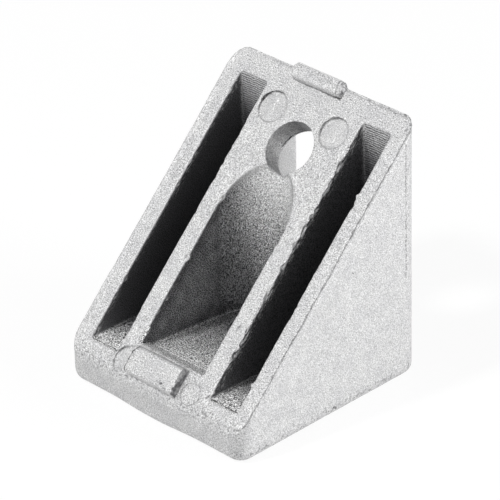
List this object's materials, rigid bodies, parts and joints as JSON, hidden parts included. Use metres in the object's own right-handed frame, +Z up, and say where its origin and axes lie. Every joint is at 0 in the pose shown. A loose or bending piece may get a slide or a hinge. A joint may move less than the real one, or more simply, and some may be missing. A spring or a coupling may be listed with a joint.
{
  "type": "t slot corner bracket",
  "caption": "Die-cast corner bracket for slotted framing: two flanges at a right angle, side walls and ribs cut by one slanted open face.",
  "frame": {"origin": "centre of the bolt hole on the underside of the bottom flange", "axes": "+Z up along the bolt hole and the back face, +Y towards the back flange, +X across the bracket to the right seen from the slanted face"},
  "size_m": [0.0384, 0.039, 0.0456],
  "materials": {
    "cast_aluminium": "bead-blasted die casting, matt and finely speckled"
  },
  "bodies": {
    "root": {"bracket_casting": "cast_aluminium"}
  },
  "joints": []
}
